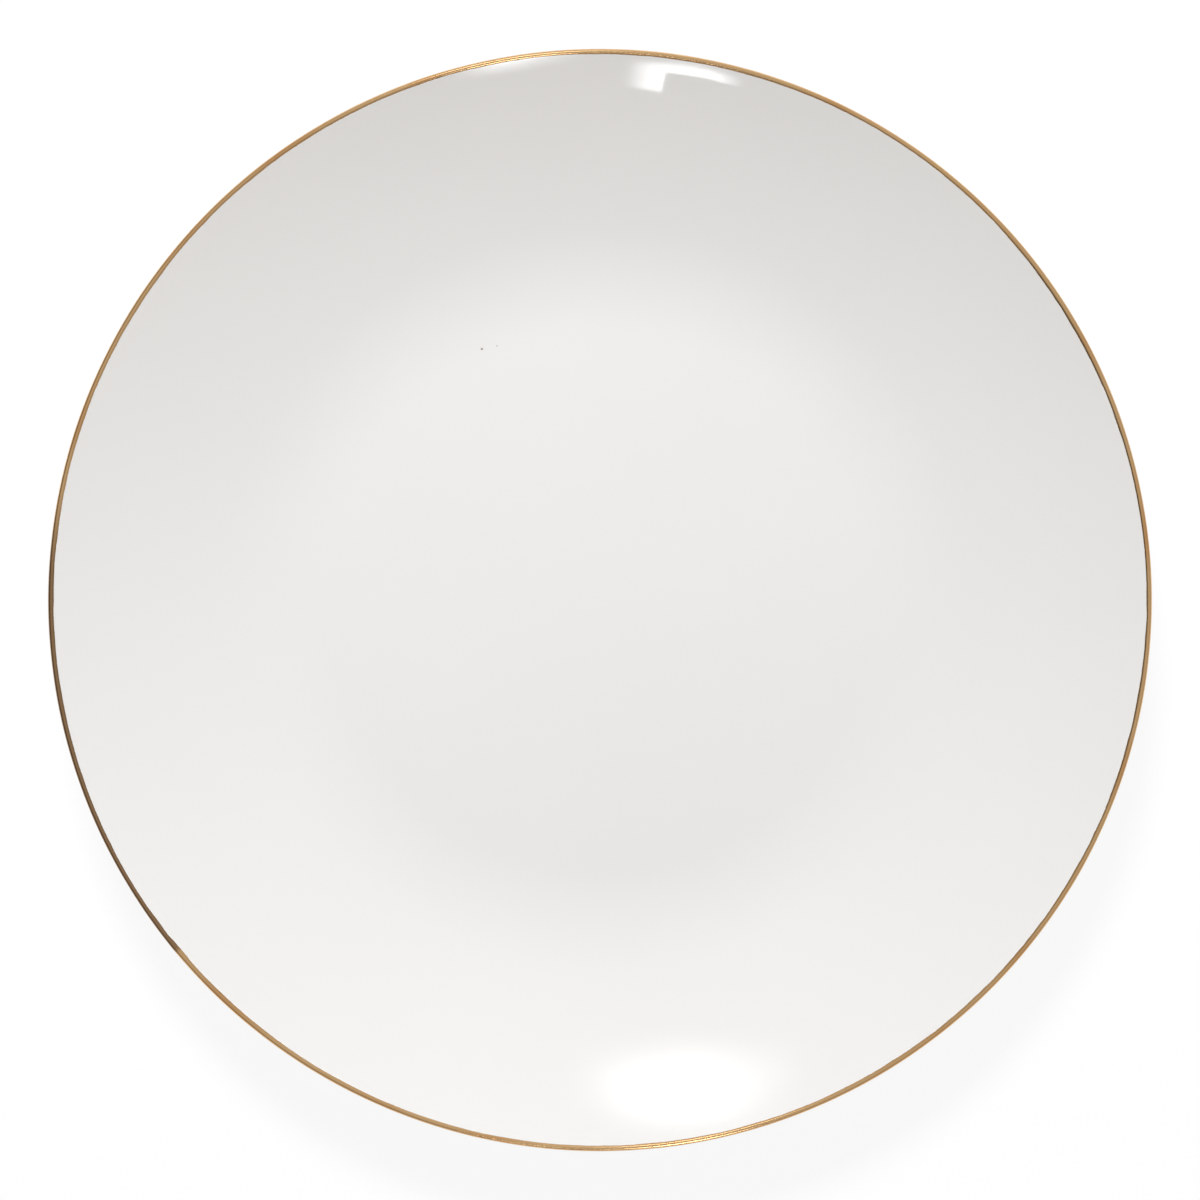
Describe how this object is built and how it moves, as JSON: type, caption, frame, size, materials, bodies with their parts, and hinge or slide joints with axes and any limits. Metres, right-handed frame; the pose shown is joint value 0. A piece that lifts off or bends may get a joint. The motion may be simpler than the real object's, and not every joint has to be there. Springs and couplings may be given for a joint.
{
  "type": "dinner plate",
  "caption": "Round coupe dinner plate in glazed white porcelain: flat well, wall curving up to a rounded lip with a narrow gold band, and a low foot ring with a bare bearing edge.",
  "frame": {"origin": "on the table plane, at the centre of the foot ring's bearing circle", "axes": "+Z is the plate's axis of revolution, pointing up out of the dish; +X and +Y lie in the table plane, and no direction round the axis is special"},
  "size_m": [0.27, 0.27, 0.0281],
  "materials": {
    "bare_porcelain": "vitrified, unglazed, fine matt where the foot ring was wiped bare",
    "white_glaze": "high gloss, clear glaze over warm white porcelain",
    "rim_gold": "fired bright gold, brushed on and lightly burnished"
  },
  "bodies": {
    "root": {"porcelain_body": "bare_porcelain", "outer_glaze": "white_glaze", "base_glaze": "white_glaze", "gold_rim_band": "rim_gold"}
  },
  "joints": []
}
